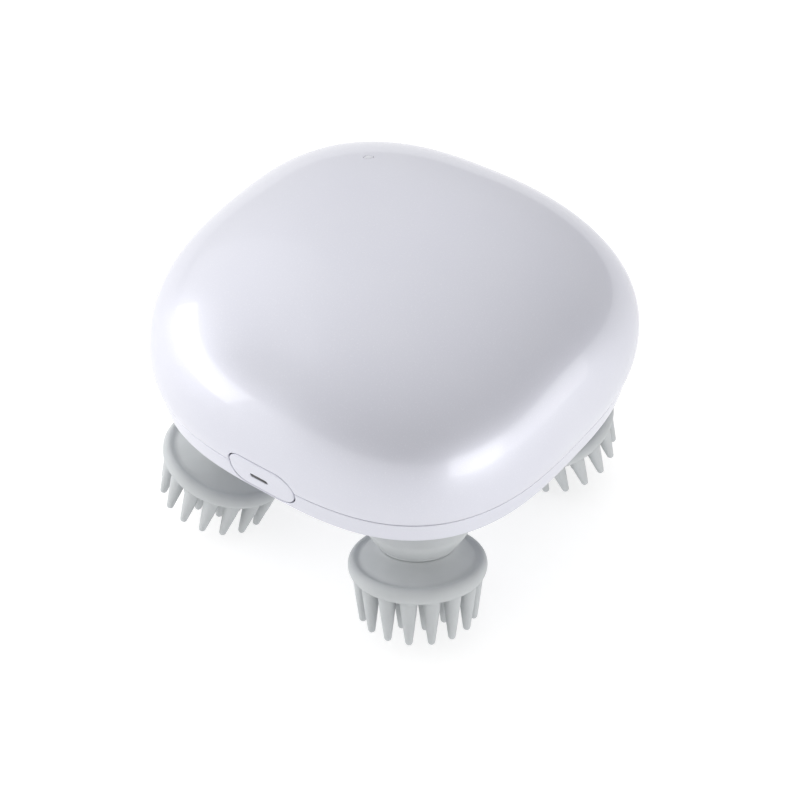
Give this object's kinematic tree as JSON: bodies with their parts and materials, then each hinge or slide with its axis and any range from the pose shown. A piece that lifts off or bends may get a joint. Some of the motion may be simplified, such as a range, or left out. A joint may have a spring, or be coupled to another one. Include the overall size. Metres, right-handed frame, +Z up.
{
  "type": "scalp massager",
  "caption": "Cordless scalp massager: a pearl-white rounded-square casing on wobbling silicone heads with soft fingers, driven by a motor and gears.",
  "frame": {"origin": "on the floor under the middle of the casing, at the level of the lowest finger tips", "axes": "+Z up out of the dome, -Y towards the power button, +X to the right when facing the button"},
  "size_m": [0.1086, 0.1038, 0.0902],
  "materials": {
    "pearl_shell": "glossy pearl white ABS",
    "light_grey_silicone": "matte light grey silicone",
    "dark_rubber": "matte",
    "acetal": "smooth natural acetal",
    "dark_nylon": "moulded glass-filled nylon",
    "steel": "bright steel",
    "brass": "sintered",
    "circuit_board": "solder mask",
    "dark_lens": "smoked window",
    "battery_foil": "foil pouch",
    "light_lens": "translucent light pipe"
  },
  "bodies": {
    "casing": {"top_shell": "pearl_shell", "base_shell": "pearl_shell", "case_gasket": "dark_rubber", "case_screw_1": "steel", "case_screw_2": "steel", "case_screw_3": "steel", "case_screw_4": "steel", "button_switch": "dark_lens", "button_board": "circuit_board", "status_light": "light_lens", "control_board": "circuit_board", "battery_cell": "battery_foil", "battery_cradle": "dark_nylon", "usb_port": "steel", "charge_board": "circuit_board", "drive_motor": "steel", "motor_plate": "steel", "motor_screw_1": "steel", "motor_screw_2": "steel", "gearbox_base": "dark_nylon", "gearbox_cover": "dark_nylon", "sun_axle": "steel", "second_gear_axle": "steel", "first_gear_axle": "steel", "crank_bearing_1": "brass", "crank_bearing_2": "brass", "crank_bearing_3": "brass", "crank_bearing_4": "brass", "boot_1": "light_grey_silicone", "boot_2": "light_grey_silicone", "boot_3": "light_grey_silicone", "boot_4": "light_grey_silicone"},
    "button": {"power_button": "pearl_shell", "button_light_window": "dark_lens"},
    "plug": {"port_plug": "light_grey_silicone"},
    "motor_rotor": {"motor_pinion_shaft": "brass"},
    "first_gear": {"first_gear": "acetal"},
    "second_gear": {"second_gear": "acetal"},
    "sun_gear": {"sun_gear": "acetal"},
    "crank_1": {"output_gear_1": "acetal", "crank_shaft_1": "steel", "hub_screw_1": "steel"},
    "head_1": {"head_hub_1": "acetal"},
    "soft_head_1": {"massage_head_1": "light_grey_silicone"},
    "crank_2": {"output_gear_2": "acetal", "crank_shaft_2": "steel", "hub_screw_2": "steel"},
    "head_2": {"head_hub_2": "acetal"},
    "soft_head_2": {"massage_head_2": "light_grey_silicone"},
    "crank_3": {"output_gear_3": "acetal", "crank_shaft_3": "steel", "hub_screw_3": "steel"},
    "head_3": {"head_hub_3": "acetal"},
    "soft_head_3": {"massage_head_3": "light_grey_silicone"},
    "crank_4": {"output_gear_4": "acetal", "crank_shaft_4": "steel", "hub_screw_4": "steel"},
    "head_4": {"head_hub_4": "acetal"},
    "soft_head_4": {"massage_head_4": "light_grey_silicone"}
  },
  "joints": [
    {"name": "button_press", "type": "slide", "parent": "casing", "child": "button", "axis": [0, 1, 0], "range_m": [0, 0.0006], "stiffness_N_per_m": 600, "springref_m": -0.001},
    {"name": "plug_pull", "type": "slide", "parent": "casing", "child": "plug", "axis": [0, 1, 0], "range_m": [0, 0.006]},
    {"name": "motor_turn", "type": "hinge", "parent": "casing", "child": "motor_rotor", "pos_m": [-0.0084, 0, 0.0621], "axis": [0, 0, 1], "continuous": true},
    {"name": "first_gear_turn", "type": "hinge", "parent": "casing", "child": "first_gear", "pos_m": [0.0108, 0, 0.0599], "axis": [0, 0, 1], "continuous": true},
    {"name": "second_gear_turn", "type": "hinge", "parent": "casing", "child": "second_gear", "pos_m": [0.0304, 0, 0.0538], "axis": [0, 0, 1], "continuous": true},
    {"name": "sun_turn", "type": "hinge", "parent": "casing", "child": "sun_gear", "pos_m": [0, 0, 0.05005], "axis": [0, 0, 1], "continuous": true},
    {"name": "crank_1_turn", "type": "hinge", "parent": "casing", "child": "crank_1", "pos_m": [0.02546, -0.02546, 0.0373], "axis": [0, 0, 1], "continuous": true, "deforming": ["boot_1"]},
    {"name": "head_1_turn", "type": "hinge", "parent": "crank_1", "child": "head_1", "pos_m": [0.02546, -0.02546, 0.0373], "axis": [-0.192, 0.2547, 0.9478], "continuous": true},
    {"name": "head_1_pull", "type": "slide", "parent": "head_1", "child": "soft_head_1", "axis": [0.192, -0.2547, -0.9478], "range_m": [0, 0.008]},
    {"name": "crank_2_turn", "type": "hinge", "parent": "casing", "child": "crank_2", "pos_m": [-0.02546, -0.02546, 0.0373], "axis": [0, 0, 1], "continuous": true, "deforming": ["boot_2"]},
    {"name": "head_2_turn", "type": "hinge", "parent": "crank_2", "child": "head_2", "pos_m": [-0.02546, -0.02546, 0.0373], "axis": [0.2443, 0.205, 0.9478], "continuous": true},
    {"name": "head_2_pull", "type": "slide", "parent": "head_2", "child": "soft_head_2", "axis": [-0.2443, -0.205, -0.9478], "range_m": [0, 0.008]},
    {"name": "crank_3_turn", "type": "hinge", "parent": "casing", "child": "crank_3", "pos_m": [0.02546, 0.02546, 0.0373], "axis": [0, 0, 1], "continuous": true, "deforming": ["boot_3"]},
    {"name": "head_3_turn", "type": "hinge", "parent": "crank_3", "child": "head_3", "pos_m": [0.02546, 0.02546, 0.0373], "axis": [-0.2007, -0.2479, 0.9478], "continuous": true},
    {"name": "head_3_pull", "type": "slide", "parent": "head_3", "child": "soft_head_3", "axis": [0.2007, 0.2479, -0.9478], "range_m": [0, 0.008]},
    {"name": "crank_4_turn", "type": "hinge", "parent": "casing", "child": "crank_4", "pos_m": [-0.02546, 0.02546, 0.0373], "axis": [0, 0, 1], "continuous": true, "deforming": ["boot_4"]},
    {"name": "head_4_turn", "type": "hinge", "parent": "crank_4", "child": "head_4", "pos_m": [-0.02546, 0.02546, 0.0373], "axis": [0.2479, -0.2007, 0.9478], "continuous": true},
    {"name": "head_4_pull", "type": "slide", "parent": "head_4", "child": "soft_head_4", "axis": [-0.2479, 0.2007, -0.9478], "range_m": [0, 0.008]}
  ],
  "couplings": [
    {"joint": "sun_turn", "follows": "crank_1_turn", "ratio": -0.5},
    {"joint": "second_gear_turn", "follows": "crank_1_turn", "ratio": 1.875},
    {"joint": "first_gear_turn", "follows": "crank_1_turn", "ratio": -4.6875},
    {"joint": "motor_turn", "follows": "crank_1_turn", "ratio": 14.062},
    {"joint": "head_1_turn", "follows": "crank_1_turn", "ratio": -1},
    {"joint": "crank_2_turn", "follows": "crank_1_turn", "ratio": 1},
    {"joint": "head_2_turn", "follows": "crank_1_turn", "ratio": -1},
    {"joint": "crank_3_turn", "follows": "crank_1_turn", "ratio": 1},
    {"joint": "head_3_turn", "follows": "crank_1_turn", "ratio": -1},
    {"joint": "crank_4_turn", "follows": "crank_1_turn", "ratio": 1},
    {"joint": "head_4_turn", "follows": "crank_1_turn", "ratio": -1}
  ]
}
